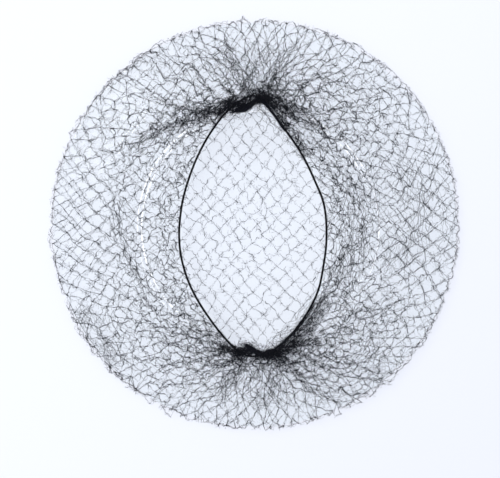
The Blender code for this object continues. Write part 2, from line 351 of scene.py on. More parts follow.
def moulded_polystyrene(plate):
    """Clear injection-moulded polystyrene.

    The eye sees through it, so its form shows only in white glints on the foot ring and rim, in a
    faint cool tint, in hazy flow marks and in painted glints along the foot ring's edges, drawn as
    white scuffs that glow.
    """
    material, tree = new_material("clear_polystyrene_moulded")
    place = add_node(tree, "ShaderNodeTexCoord")
    # Flow marks are about 6 mm apart and fade slowly
    flow = add_node(
        tree, "ShaderNodeTexNoise", Vector=place.outputs["Object"], Scale=1 / 0.006, Detail=3.0
    )
    # Fine handling scratches about 0.4 mm apart
    scratches = add_node(
        tree, "ShaderNodeTexNoise", Vector=place.outputs["Object"], Scale=1 / 0.0004, Detail=2.0
    )
    roughness = add_node(tree, "ShaderNodeMapRange", Value=flow, To_Min=0.08, To_Max=0.20)
    ripple = add_node(tree, "ShaderNodeBump", Strength=0.12, Distance=0.0002, Height=flow)
    marks = add_node(
        tree, "ShaderNodeBump", Strength=0.04, Distance=0.00005, Height=scratches, Normal=ripple
    )
    # Each face of the wall sends back a few percent head on and more at a slant
    slant = add_node(tree, "ShaderNodeLayerWeight", Blend=0.5, Normal=marks)
    steep = add_node(
        tree, "ShaderNodeMath", {"operation": "POWER"}, _0=slant.outputs["Facing"], _1=5.0
    )
    seen = add_node(tree, "ShaderNodeMapRange", Value=steep, To_Min=0.032, To_Max=1.0)
    through = add_node(tree, "ShaderNodeBsdfTransparent", Color=(*plate.tint, 1.0))
    gloss = add_node(
        tree, "ShaderNodeBsdfGlossy", Color=(1.0, 1.0, 1.0, 1.0), Roughness=roughness, Normal=marks
    )
    both = add_node(tree, "ShaderNodeMixShader", Fac=seen, _1=through, _2=gloss)
    # Painted glints: the white glowing scuffs on the foot ring's edges are broken into dashes about
    # 9 mm long
    scuff_glint = add_node(tree, "ShaderNodeAttribute", {"attribute_name": "scuff_glint"}).outputs["Fac"]
    glint_breaks = add_node(
        tree, "ShaderNodeTexNoise", Vector=place.outputs["Object"], Scale=1 / 0.0090, Detail=2.0
    )
    broken = add_node(
        tree, "ShaderNodeMapRange", Value=glint_breaks, From_Min=0.36, From_Max=0.46, To_Min=0.3
    )
    glinting = add_node(tree, "ShaderNodeMath", {"operation": "MULTIPLY"}, _0=broken, _1=scuff_glint)
    glowing_scuff = add_node(
        tree,
        "ShaderNodeBsdfPrincipled",
        Base_Color=(*plate.scuff_glint, 1.0),
        Roughness=0.55,
        Emission_Color=(*plate.scuff_glint, 1.0),
        Emission_Strength=plate.glint_glow,
        Normal=marks,
    )
    scuff_and_glint = add_node(tree, "ShaderNodeMixShader", Fac=glinting, _1=both, _2=glowing_scuff)
    add_node(tree, "ShaderNodeOutputMaterial", Surface=scuff_and_glint)
    return material


def crimped_nylon(netting):
    """Black false-twist textured nylon yarn, dyed in the hank.

    Its fine crimped filaments make it matt black; a painted sheen makes it a little greyer in
    patches along the crimp, standing for where they catch the light.
    """
    material, tree = new_material("nylon_yarn_crimped")
    place = add_node(tree, "ShaderNodeTexCoord")
    # Crimp repeats about every 1.2 mm of yarn
    crimp = add_node(
        tree, "ShaderNodeTexNoise", Vector=place.outputs["Object"], Scale=1 / 0.0012, Detail=3.0
    )
    # Filaments are about 0.03 mm thick, drawn four times as coarse so that they show
    filaments = add_node(
        tree, "ShaderNodeTexNoise", Vector=place.outputs["Object"], Scale=1 / 0.00012, Detail=2.0
    )
    # Painted sheen: the black is mixed with a lighter grey in patches along the crimp
    shade = add_node(
        tree,
        "ShaderNodeMix",
        {"data_type": "RGBA"},
        Factor=crimp,
        _6=(*netting.colour, 1.0),
        _7=(*netting.sheen_colour, 1.0),
    )
    roughness = add_node(tree, "ShaderNodeMapRange", Value=crimp, To_Min=0.50, To_Max=0.72)
    fuzz = add_node(tree, "ShaderNodeBump", Strength=0.6, Distance=0.00004, Height=filaments)
    surface = add_node(
        tree,
        "ShaderNodeBsdfPrincipled",
        Base_Color=shade.outputs[2],
        Roughness=roughness,
        IOR=1.53,
        # Light is lost between the crimped filaments, so the yarn hardly shines
        Specular_IOR_Level=0.06,
        Sheen_Weight=0.02,
        Sheen_Roughness=0.5,
        Normal=fuzz,
    )
    add_node(tree, "ShaderNodeOutputMaterial", Surface=surface)
    return material


def covered_elastic(elastic):
    """Round elastic with a tightly wound black polyester cover.

    The turns of the cover make it a dense, even black with a fine rib across it, with painted shade
    in the grooves between the turns and a painted highlight on their crests.
    """
    material, tree = new_material("elastic_thread_wound_cover")
    length = add_node(tree, "ShaderNodeUVMap", {"uv_map": "winding"})
    # One band of the wave is one turn of the cover: the map counts turns
    wave = add_node(
        tree,
        "ShaderNodeTexWave",
        {"wave_type": "BANDS", "bands_direction": "X"},
        Vector=length.outputs["UV"],
        Scale=math.pi / 10,
        Distortion=0.4,
        Detail=1.0,
    )
    rib = wave.outputs["Fac"]
    # Painted shade in the grooves and painted highlight on the crests: half and one and a half
    # times the cover's colour
    painted_groove_shade, painted_crest_highlight = ((*[part * share for part in elastic.colour], 1.0) for share in (0.5, 1.5))
    shade = add_node(tree, "ShaderNodeMix", {"data_type": "RGBA"}, Factor=rib, _6=painted_groove_shade, _7=painted_crest_highlight)
    grooves = add_node(tree, "ShaderNodeBump", Strength=0.8, Distance=0.00008, Height=rib)
    surface = add_node(
        tree,
        "ShaderNodeBsdfPrincipled",
        Base_Color=shade.outputs[2],
        Roughness=0.62,
        IOR=1.57,
        Specular_IOR_Level=0.09,
        Normal=grooves,
    )
    add_node(tree, "ShaderNodeOutputMaterial", Surface=surface)
    return material


def opal_acrylic(studio):
    """White opal acrylic sheet, blasted matt and lit evenly from below.

    Light that comes through it keeps shadows soft and pale.
    """
    material, tree = new_material("acrylic_opal_blasted")
    place = add_node(tree, "ShaderNodeTexCoord")
    # The blasted grain is about 0.8 mm apart
    stipple = add_node(
        tree, "ShaderNodeTexNoise", Vector=place.outputs["Object"], Scale=1 / 0.0008, Detail=2.0
    )
    grain = add_node(tree, "ShaderNodeBump", Strength=0.05, Distance=0.00005, Height=stipple)
    # The sheet's glow is made a little weaker towards its near right corner: painted shade of the
    # light falling off towards that corner
    part = add_node(tree, "ShaderNodeSeparateXYZ", Vector=place.outputs["Object"])
    x, y = part.outputs["X"], part.outputs["Y"]
    corner = add_node(tree, "ShaderNodeMath", {"operation": "SUBTRACT"}, _0=x, _1=y)
    painted_falloff_glow = add_node(
        tree,
        "ShaderNodeMapRange",
        {"interpolation_type": "SMOOTHSTEP"},
        Value=corner,
        From_Min=-0.15,
        From_Max=0.35,
        To_Min=studio.glow,
        To_Max=0.91 * studio.glow,
    )
    surface = add_node(
        tree,
        "ShaderNodeBsdfPrincipled",
        Base_Color=(*studio.table, 1.0),
        Roughness=0.8,
        Emission_Color=(*studio.room, 1.0),
        Emission_Strength=painted_falloff_glow,
        Normal=grain,
    )
    add_node(tree, "ShaderNodeOutputMaterial", Surface=surface)
    return material


def add_piece(name, vertices, quads, material, turns=None):
    """Smooth mesh object from arrays, with a map that counts turns along it if given."""
    mesh = bpy.data.meshes.new(name)
    mesh.vertices.add(len(vertices))
    mesh.vertices.foreach_set("co", np.asarray(vertices, np.float32).ravel())
    mesh.loops.add(quads.size)
    mesh.loops.foreach_set("vertex_index", quads.ravel().astype(np.int32))
    mesh.polygons.add(len(quads))
    starts = np.arange(0, quads.size, quads.shape[1], dtype=np.int32)
    mesh.polygons.foreach_set("loop_start", starts)
    mesh.update(calc_edges=True)
    mesh.polygons.foreach_set("use_smooth", np.ones(len(quads), bool))
    if turns is not None:
        layer = mesh.uv_layers.new(name="winding")
        layer.data.foreach_set("uv", turns[quads.ravel()].astype(np.float32).ravel())
    mesh.materials.append(material)
    mesh.validate()
    piece = bpy.data.objects.new(name, mesh)
    bpy.context.scene.collection.objects.link(piece)
    return piece


def unit(vectors):
    return vectors / np.maximum(np.linalg.norm(vectors, axis=-1, keepdims=True), 1e-12)


def tubes(paths, radii, sides, closed=False):
    """Vertices and quads of many tubes, from paths (tube, point, xyz) and radii (tube, point)."""
    if closed:
        ahead = np.roll(paths, -1, 1) - np.roll(paths, 1, 1)
    else:
        ahead = np.gradient(paths, axis=1)
    ahead = unit(ahead)
    reference = np.array((0.31, 0.23, 0.92))
    across = unit(np.cross(ahead, reference))
    over = np.cross(across, ahead)
    turn = 2 * math.pi * np.arange(sides) / sides
    ring = np.cos(turn)[:, None] * across[:, :, None] + np.sin(turn)[:, None] * over[:, :, None]
    vertices = paths[:, :, None] + radii[:, :, None, None] * ring
    count, points = paths.shape[:2]
    number = np.arange(count * points * sides).reshape(count, points, sides)
    here = number if closed else number[:, :-1]
    there = np.roll(number, -1, 1) if closed else number[:, 1:]
    quads = np.stack([here, np.roll(here, -1, 2), np.roll(there, -1, 2), there], -1)
    return vertices.reshape(-1, 3), quads.reshape(-1, 4)


def uneven(paths, random):
    """Shares of thickness at each point of paths, which make yarn look uneven."""
    return random.uniform(0.7, 1.4, (len(paths), 1)) * random.uniform(0.8, 1.2, paths.shape[:2])


def smooth_curve(points, steps, closed):
    """Points spaced evenly by parameter on a Catmull-Rom curve through the given points."""
    points = np.asarray(points, float)
    count = len(points)
    spans = count if closed else count - 1
    place = np.arange(steps if closed else steps + 1) * spans / steps
    index = np.minimum(place.astype(int), spans - 1)
    share = (place - index)[:, None]

    def at(number):
        return points[number % count if closed else np.clip(number, 0, count - 1)]

    before, start, end, after = at(index - 1), at(index), at(index + 1), at(index + 2)
    curve = 0.5 * (
        2 * start
        + (end - before) * share
        + (2 * before - 5 * start + 4 * end - after) * share**2
        + (3 * start - before - 3 * end + after) * share**3
    )
    return np.round(curve, 9)


def along(line, shares):
    """Points at these shares of a line's length."""
    steps = np.linalg.norm(np.diff(line, axis=0), axis=1)
    lengths = np.concatenate([[0], np.cumsum(steps)])
    at = np.asarray(shares) * lengths[-1]
    return np.stack([np.interp(at, lengths, line[:, axis]) for axis in range(line.shape[1])], 1)


class NetSurface:
    """What the net lies on: the table, the plate's rim and the slope up to its foot ring."""

    def __init__(self, plate):
        self.back = NET_OVER_TABLE
        self.rim = plate.radius + NET_OFF_RIM
        self.rim_top = PLATE_LOW.z + plate.wall + NET_OFF_RIM
        self.top = PLATE_HIGH.z + NET_OVER_TOP
        self.shoulder = plate.foot_radius + plate.foot_width / 2 + NET_OFF_FOOT
        turn = NET_TURN
        self.outline = np.array(
            (
                (0, self.back),
                (self.rim - turn, self.back),
                (self.rim, self.back + turn),
                (self.rim, self.rim_top - turn),
                (self.rim - turn, self.rim_top),
                (self.shoulder, self.top),
                (0, self.top),
            )
        )
        self.slope = (self.top - self.rim_top) / (self.rim - turn - self.shoulder)
        self.middle = (self.back + self.rim_top) / 2
        self.rim_path = self.rim_top - self.back

    def height(self, places):
        """Height of the net over the plate at these (x, y) places."""
        radius = np.hypot(places[..., 0], places[..., 1])
        return self.top - np.maximum(radius - self.shoulder, 0) * self.slope

    def nearest(self, points):
        """Nearest places on the surface."""
        radius = np.hypot(points[:, 0], points[:, 1])
        flat = np.stack([radius, points[:, 2]], 1)
        least = np.full(len(points), np.inf)
        found = np.zeros_like(flat)
        for start, end in zip(self.outline[:-1], self.outline[1:]):
            run = end - start
            share = np.clip(((flat - start) @ run) / (run @ run), 0, 1)
            place = start + share[:, None] * run
            gap = ((flat - place) ** 2).sum(1)
            nearer = gap < least
            least[nearer] = gap[nearer]
            found[nearer] = place[nearer]
        scale = found[:, 0] / np.maximum(radius, 1e-9)
        return np.stack([points[:, 0] * scale, points[:, 1] * scale, found[:, 1]], 1)

    def facing(self, points):
        """Outward directions at these points, and how far they stand out there."""
        radius = np.hypot(points[..., 0], points[..., 1])
        most = np.full(radius.shape, -np.inf)
        slant = np.zeros((*radius.shape, 2))
        for start, end in zip(self.outline[:-1], self.outline[1:]):
            run = (end - start) / np.linalg.norm(end - start)
            out = np.array((run[1], -run[0]))
            reach = (radius - start[0]) * out[0] + (points[..., 2] - start[1]) * out[1]
            further = reach > most
            most = np.where(further, reach, most)
            slant[further] = out
        round_it = points[..., :2] / np.maximum(radius, 1e-9)[..., None]
        return np.concatenate([round_it * slant[..., :1], slant[..., 1:]], -1), most

    def over_rim(self, start, end, share):
        """Paths round the rim, from knots on one face of the plate to knots on the other."""

        def unrolled(knots):
            radius = np.hypot(knots[:, 0], knots[:, 1])
            below = knots[:, 2] < self.middle
            return np.where(below, 2 * self.rim + self.rim_path - radius, radius), radius

        first, first_radius = unrolled(start)
        last, last_radius = unrolled(end)
        place = first[:, None] + (last - first)[:, None] * share
        from_rim = place - self.rim
        radius = self.rim - np.maximum(-from_rim, 0) - np.maximum(from_rim - self.rim_path, 0)
        first_side = (start[:, :2] / first_radius[:, None])[:, None]
        last_side = (end[:, :2] / last_radius[:, None])[:, None]
        side = unit(first_side + (last_side - first_side) * share[None, :, None])
        flat = side * radius[..., None]
        down = np.clip(from_rim / self.rim_path, 0, 1)
        edge = self.rim_top + (self.back - self.rim_top) * down
        height = np.where(from_rim < 0, self.height(flat), edge)
        return np.concatenate([flat, height[..., None]], -1)


def mouth_lines(elastic, steps=160):
    """The elastic's left and right middle lines in plan, from its near point to its far point."""
    half = elastic.mouth_width / 2
    length, to_left, to_right = np.transpose(MOUTH_SHAPE)
    y = elastic.mouth_y - elastic.mouth_length / 2 + length * elastic.mouth_length
    right = np.column_stack([elastic.mouth_x + to_right * half, y])
    left = np.column_stack([elastic.mouth_x - to_left * half, y])[1:-1]
    loop = smooth_curve(np.vstack([right, left[::-1]]), 2 * steps, True)
    far = round(2 * steps * (len(right) - 1) / (len(right) + len(left)))
    return np.vstack([loop[far:], loop[:1]])[::-1], loop[: far + 1]


def from_mouth(elastic, shares):
    """Places in plan from shares of half the mouth's width and length."""
    places = np.array(shares, float) * (elastic.mouth_width / 2, elastic.mouth_length / 2)
    return places + (elastic.mouth_x, elastic.mouth_y)


def knot_rows(columns, rows):
    """Knot numbers by row and column, each knot's share across and along, and the strands."""
    number = -np.ones((rows + 1, columns + 1), int)
    shares = []
    for row in range(rows + 1):
        for column in range(columns + 1 - row % 2):
            number[row, column] = len(shares)
            shares.append(((column + 0.5 * (row % 2)) / columns, row / rows))
    strands = []
    for row in range(rows):
        for column in range(columns + 1 - row % 2):
            for other in (column - 1, column) if row % 2 == 0 else (column, column + 1):
                if 0 <= other < columns + 1 - (row + 1) % 2:
                    strands.append((number[row, column], number[row + 1, other]))
    return number, np.array(shares), np.array(strands)


def wrapped_net(surface, shares, left, right):
    """Knots on circles through both points of the mouth, wrapped round a flattened ball."""
    quarter = math.pi / 2 / surface.rim
    chord = quarter * (left[-1, 1] - left[0, 1]) / 2
    edge = quarter * (right[:, 0].max() - left[:, 0].min()) / 2
    level, reach = math.cos(chord), math.sin(chord)
    first = math.atan2(math.cos(edge) - level, -math.sin(edge))
    last = 2 * math.pi + math.atan2(math.cos(edge) - level, math.sin(edge))
    lean = first + (last - first) * shares[:, 0]
    middle = -level * np.sin(lean)
    radius = np.sqrt(np.maximum(1 - level**2 + middle**2, 1e-9))
    start = np.arctan2(-reach, -middle)
    start = np.where(start > 0, start - 2 * math.pi, start)
    angle = start + (np.arctan2(reach, -middle) - start) * shares[:, 1]
    out = middle + radius * np.cos(angle)
    x, y, z = out * np.cos(lean), radius * np.sin(angle), level + out * np.sin(lean)
    from_top = np.arccos(np.clip(z, -1, 1))
    above = from_top < math.pi / 2
    spread = np.where(above, from_top, math.pi - from_top) / quarter
    turn = np.arctan2(y, x)
    places = np.stack([spread * np.cos(turn), spread * np.sin(turn)], 1)
    height = np.where(above, surface.height(places), surface.back)
    return np.column_stack([places, height])


def crowded(shares, near, far):
    """Shares moved towards both ends of a line, which gathers the net at the mouth's points."""
    amount = near + (far - near) * shares
    return shares - amount * np.sin(2 * math.pi * shares) / (2 * math.pi)


def summed(strands, at_start, at_end, count):
    """Sums at each knot of what its strands bring to their start and to their end."""
    start, end = strands.T
    sums = [
        np.bincount(start, at_start[:, axis], count) + np.bincount(end, at_end[:, axis], count)
        for axis in range(at_start.shape[1])
    ]
    return np.stack(sums, 1)


def relaxed_net(surface, netting, elastic, random):
    """Knots, strands and the strands' own lengths of the net stretched over the surface."""
    columns, rows = netting.columns, netting.rows
    number, shares, strands = knot_rows(columns, rows)
    left, right = mouth_lines(elastic)
    knots = wrapped_net(surface, shares, left, right)
    own = netting.side * (1 + netting.unevenness * random.uniform(-1, 1, len(strands)))

    held = np.zeros(len(knots), bool)
    even = np.arange(2, rows, 2)
    over_elastic, over_tie = 0.0005, 0.0012
    # Spread of held knots along the elastic and along a tie in shares of it, and to a tie's sides
    elastic_spread, tie_spread, tie_width = 0.004, 0.03, 0.0006
    first_share, last_share = 0.002, 0.998
    sides = (
        # column, elastic's line, crowding near and far
        (0, left, 0.50, 0.72),
        (columns, right, 0.80, 0.70),
    )
    for column, line, near, far in sides:
        places = crowded(even / rows, near, far)
        places += random.normal(0, elastic_spread, len(even))
        ring = along(line, np.clip(places, first_share, last_share))
        knots[number[even, column]] = np.column_stack([ring, surface.height(ring) + over_elastic])
        held[number[even, column]] = True
    for row, tie in ((0, NEAR_TIE), (rows, FAR_TIE)):
        tied = number[row][number[row] >= 0]
        places = (np.arange(len(tied)) + 0.5) / len(tied)
        places += random.normal(0, tie_spread, len(tied))
        line = along(from_mouth(elastic, tie), np.clip(places, 0, 1))
        line += random.normal(0, tie_width, line.shape)
        knots[tied] = np.column_stack([line, surface.height(line) + over_tie])
        held[tied] = True

    fixed = knots[held].copy()
    loose = ~held
    start_spread = 0.0008
    knots[loose, :2] += random.normal(0, start_spread, (int(loose.sum()), 2))
    start, end = strands.T
    count = len(knots)
    pull = 2 / np.bincount(np.concatenate([start, end]), minlength=count)[:, None]
    left_half = shares[:, 0] < 0.5
    # Knots by the mouth keep outside the elastic, unless they are far over on its other side
    outside, far_over, mouth_depth = 0.0008, 0.02, 0.006
    before = knots.copy()
    for _ in range(RELAX_STEPS):
        run = knots[end] - knots[start]
        back = -run
        # A strand between the plate's two faces goes round its rim, and pulls both knots outwards
        radius = np.maximum(np.hypot(knots[:, 0], knots[:, 1]), 1e-6)
        above = knots[:, 2] > surface.middle
        round_rim = np.flatnonzero(above[start] != above[end])
        here, there = start[round_rim], end[round_rim]
        here_side, there_side = (knots[k, :2] / radius[k, None] for k in (here, there))
        outwards = (2 * surface.rim - radius[here] - radius[there] + surface.rim_path)[:, None]
        around = surface.rim * (there_side - here_side)
        run[round_rim] = np.column_stack([outwards * here_side + around, 0 * outwards])
        back[round_rim] = np.column_stack([outwards * there_side - around, 0 * outwards])
        length = np.linalg.norm(run, axis=1)
        excess = length - own
        stiffness = np.where(excess > 0, 1.0, SLACK_PUSH)
        change = (0.5 * stiffness * excess / np.maximum(length, 1e-9))[:, None]
        move = summed(strands, change * run, change * back, count)
        moved = knots + RELAX_SPEED * pull * move + RELAX_DRIFT * (knots - before)
        beyond = np.maximum(np.hypot(moved[:, 0], moved[:, 1]) - surface.rim, 0)
        moved[:, 2] += np.where(above, -beyond, beyond)
        moved[held] = fixed
        moved[loose] = surface.nearest(moved[loose])
        by_mouth = loose & (moved[:, 2] > surface.top - mouth_depth)
        by_mouth &= (moved[:, 1] > left[0, 1]) & (moved[:, 1] < left[-1, 1])
        x = moved[:, 0]
        left_edge = np.interp(moved[:, 1], left[:, 1], left[:, 0]) - outside
        right_edge = np.interp(moved[:, 1], right[:, 1], right[:, 0]) + outside
        over_left = by_mouth & left_half & (x > left_edge) & (x < right_edge + far_over)
        over_right = by_mouth & ~left_half & (x < right_edge) & (x > left_edge - far_over)
        moved[over_left, 0] = left_edge[over_left]
        moved[over_right, 0] = right_edge[over_right]
        # Rounded to 0.1 micron, so that the last digit of a sum can't lead to another net
        before, knots = knots, np.round(moved, 7)
    return knots, shares, strands, own, held


def evened(places, strands, held, passes):
    """Places of knots after each has moved half-way to the middle of its neighbours many times."""
    start, end = strands.T
    count = len(places)
    neighbours = np.bincount(strands.ravel(), minlength=count)[:, None]
    for _ in range(passes):
        total = summed(strands, places[end], places[start], count)
        moved = (places + total / neighbours) / 2
        moved[held] = places[held]
        places = moved
    return places


def crumple(knots, strands, held, surface, elastic, random):
    """Draws the loose net over the plate towards the mouth and into its folds."""
    above = knots[:, 2] > surface.middle
    round_rim = above[strands[:, 0]] != above[strands[:, 1]]
    still = held | ~above
    still[strands[round_rim].ravel()] = True
    # Takes out most of the waves that are broader than a cell or two
    few, many, most = 2, 40, 0.85
    fine, broad = (evened(knots[:, :2], strands, still, passes) for passes in (few, many))
    knots[:, :2] += most * (broad - fine)
    left, right = mouth_lines(elastic)
    loop = np.vstack([left, right[::-1]])
    loose = np.flatnonzero(~held & (knots[:, 2] > surface.rim_top))
    places = knots[loose, :2]
    gaps = np.linalg.norm(places[:, None] - loop[None], axis=2)
    nearest = loop[gaps.argmin(1)]
    distance = gaps.min(1)
    out = unit(places - nearest)
    lean = (nearest * out).sum(1)
    to_rim = -lean + np.sqrt(np.maximum(lean**2 - (nearest**2).sum(1) + surface.rim**2, 1e-12))
    share = np.clip(distance / to_rim, 0, 1)
    # The right side is drawn towards the mouth more than the left
    drawn_right, drawn_left = 0.42, 0.30
    amount = np.where(places[:, 0] > 0, drawn_right, drawn_left)
    share = share - amount * share * (1 - share)
    places = nearest + out * (share * to_rim)[:, None]

    for *ends, reach, pull, _, _ in NET_FOLDS:
        fold = smooth_curve(np.reshape(ends, (3, 2)) * surface.rim, FOLD_STEPS, False)
        away = places[:, None] - fold[None]
        gaps = np.linalg.norm(away, axis=2)
        nearest = gaps.argmin(1)
        distance = gaps.min(1)
        # The pull fades out over a sixth of the fold at each end
        fade = np.clip(6 * np.minimum(nearest, FOLD_STEPS - nearest) / FOLD_STEPS, 0, 1)
        kept = 1 - pull * fade * np.exp(-((distance / reach) ** 2))
        places = fold[nearest] + away[np.arange(len(places)), nearest] * kept[:, None]
    scatter = 0.0007
    knots[loose, :2] = places + random.normal(0, scatter, places.shape)
    knots[loose, 2] = surface.height(knots[loose, :2])
    # Knots that were drawn in from the rim's edge lie on the rim, not in it
    knots[above, 2] = np.maximum(knots[above, 2], surface.height(knots[above, :2]))


def stand_out(knots, held, surface, netting, random):
    """Lets the net's edge stand out from the plate unevenly, as loose loops do."""
    radius = np.hypot(knots[:, 0], knots[:, 1])
    turn = np.degrees(np.arctan2(knots[:, 1], knots[:, 0])) % 360
    direction, outwards, looseness = np.transpose(NET_OUTREACH)
    reach = np.interp(turn, direction, outwards)
    loops = random.exponential(netting.fringe * np.interp(turn, direction, looseness))
    band, most = 0.010, 0.0035
    near_rim = np.clip((radius - (surface.rim - band)) / band, 0, 1)
    more = near_rim**2 * (reach + np.minimum(loops, most))
    more[held] = 0
    knots[:, :2] *= (1 + more / np.maximum(radius, 1e-6))[:, None]


def strand_paths(knots, strands, own, surface, netting, finer, random, points=7):
    """Main filament of each strand and finer ones that stray from it, (kind, strand, point)."""
    share = np.linspace(0, 1, points)
    arcs = np.sin(math.pi * share[None] * np.arange(1, 5)[:, None])
    start, end = knots[strands[:, 0]], knots[strands[:, 1]]
    run = end - start
    straight = start[:, None] + run[:, None] * share[None, :, None]
    crossing = (start[:, 2] > surface.middle) != (end[:, 2] > surface.middle)
    straight[crossing] = surface.over_rim(start[crossing], end[crossing], share)
    length = np.linalg.norm(np.diff(straight, axis=1), axis=2).sum(1)
    slack = np.maximum(own - length, 0)
    # Half of the root is the height of the triangle that a strand with this slack can make
    bow_share, most_bow = 0.45, 0.0019
    bow = np.minimum(bow_share * np.sqrt(slack * (slack + 2 * length)), most_bow)
    facing, _ = surface.facing(straight[:, points // 2])
    sideways = unit(np.cross(facing, unit(run)))
    side = random.choice((-1.0, 1.0), len(strands))
    lean_spread, rim_lift = 0.4, 1.8
    lean = random.normal(0, lean_spread, len(strands))
    stray = np.where(crossing, rim_lift, 1.0) * netting.lift
    size = (len(strands), 4)
    # Taut yarn has no length to spare for curls
    taut_curl, free_bow = 0.35, 0.0015
    main = random.normal(0, 1, size) * np.clip(taut_curl + bow / free_bow, 0, 1)[:, None]
    # Mean leave of a finer filament, heights of the four waves of a curl, its run to each side
    # and its rise
    mean_leave, wave_heights, aside, upwards = 1.2, (0.5, 1.0, 0.8, 0.6), 0.8, 0.7
    paths = []
    for number in range(1 + finer):
        # Most finer filaments keep to the main one, and a few leave it
        leave = 0 if number == 0 else random.exponential(mean_leave, (len(strands), 1))
        curl = (main + leave * random.normal(0, 1, size)) * netting.curl * wave_heights
        across = aside * curl @ arcs
        across += (bow * side)[:, None] * arcs[0]
        across += (bow * lean)[:, None] * arcs[1]
        rise = np.abs(random.normal(0, stray))[:, None] * arcs[0]
        wave = np.abs(random.normal(0, netting.curl * upwards, (len(strands), 1)))
        rise += wave * np.abs(arcs[2])
        paths.append(
            straight + across[..., None] * sideways[:, None] + rise[..., None] * facing[:, None]
        )
    paths = np.array(paths)
    paths[:, :, 1:-1] += random.normal(0, netting.kink, paths[:, :, 1:-1].shape)
    out, reach = surface.facing(paths)
    least_reach = 0.0001
    paths += out * np.maximum(least_reach - reach, 0)[..., None]
    # The thickest heaps reach a little over twice the yarn's thickness to each side
    heap_reach = 2.1 * netting.slack_yarn
    paths[..., 2] = np.maximum(paths[..., 2], heap_reach)
    return paths


def loose_hairs(yarn, surface, netting, random, points=2):
    """Short hairs that stand off the yarn, which is given as places on it."""
    shortest, longest, lifted, bent, least_reach = 0.0006, 0.0024, 0.25, 0.6, 0.0002
    places = yarn[random.integers(0, len(yarn), netting.hairs)]
    out, _ = surface.facing(places)
    ahead = unit(np.cross(out, random.normal(0, 1, places.shape)) + lifted * out)
    bend = np.cross(out, ahead) * random.normal(0, bent, (len(places), 1))
    share = np.linspace(0, 1, points)[None, :, None]
    length = random.uniform(shortest, longest, (len(places), 1, 1))
    paths = places[:, None] + length * (share * ahead[:, None] + share**2 * bend[:, None])
    out, reach = surface.facing(paths)
    paths += out * np.maximum(least_reach - reach, 0)[..., None]
    paths[..., 2] = np.maximum(paths[..., 2], netting.hair)
    return paths


def stray_strands(line, stray, lean, count, surface, random, steps=14):
    """Crimped strands that run beside a line in plan and stray from it as far as given there.

    The lean moves them to the line's left, as a share of how far they stray.
    """
    # Shares of the line: where the last strand begins, and the shortest and longest strand
    last_begin, shortest, longest = 0.80, 0.15, 0.40
    # Slant of a strand as a share of how far it strays, its crimp, and its rise over the net
    slant, crimp, least_rise, rise = 0.8, 0.0003, 0.0003, 0.0006
    off_rim = 0.0010
    share = np.linspace(0, 1, len(line))
    step = np.linspace(0, 1, steps + 1)
    begin = random.uniform(0, last_begin, (count, 1))
    place = np.minimum(begin + random.uniform(shortest, longest, begin.shape) * step, 1)
    ahead = unit(np.gradient(line, axis=0))
    off = lean + random.normal(0, 1, begin.shape)
    off = off + random.normal(0, slant, begin.shape) * (step - 0.5)
    off *= np.interp(place, share, stray)
    waves = np.sin(math.pi * np.arange(1, 9)[:, None] * step)
    off += random.normal(0, crimp, (count, 8)) @ waves
    x = np.interp(place, share, line[:, 0]) - off * np.interp(place, share, ahead[:, 1])
    y = np.interp(place, share, line[:, 1]) + off * np.interp(place, share, ahead[:, 0])
    places = np.stack([x, y], -1)
    radius = np.linalg.norm(places, axis=-1, keepdims=True)
    places *= np.minimum(1, (surface.rim - off_rim) / radius)
    high = surface.height(places) + np.abs(random.normal(0, rise, begin.shape)) + least_rise
    return np.concatenate([places, high[..., None]], -1)


def knot_blobs(places, sizes, random):
    """Small uneven eight-sided knots."""
    corners = np.array(((1, 0, 0), (0, 1, 0), (-1, 0, 0), (0, -1, 0), (0, 0, 1), (0, 0, -1)), float)
    upper = [(at, (at + 1) % 4, 4) for at in range(4)]
    faces = np.array(upper + [(after, at, 5) for at, after, _ in upper])
    least, most = 0.6, 1.4
    radius = sizes[:, None, None] / 2 * random.uniform(least, most, (len(places), 6, 1))
    turn = random.uniform(0, math.pi, len(places))
    x = corners[:, 0] * np.cos(turn)[:, None] - corners[:, 1] * np.sin(turn)[:, None]
    y = corners[:, 0] * np.sin(turn)[:, None] + corners[:, 1] * np.cos(turn)[:, None]
    z = np.broadcast_to(corners[:, 2], x.shape)
    vertices = places[:, None] + radius * np.stack([x, y, z], 2)
    number = faces[None] + 6 * np.arange(len(places))[:, None, None]
    return vertices.reshape(-1, 3), number.reshape(-1, 3)


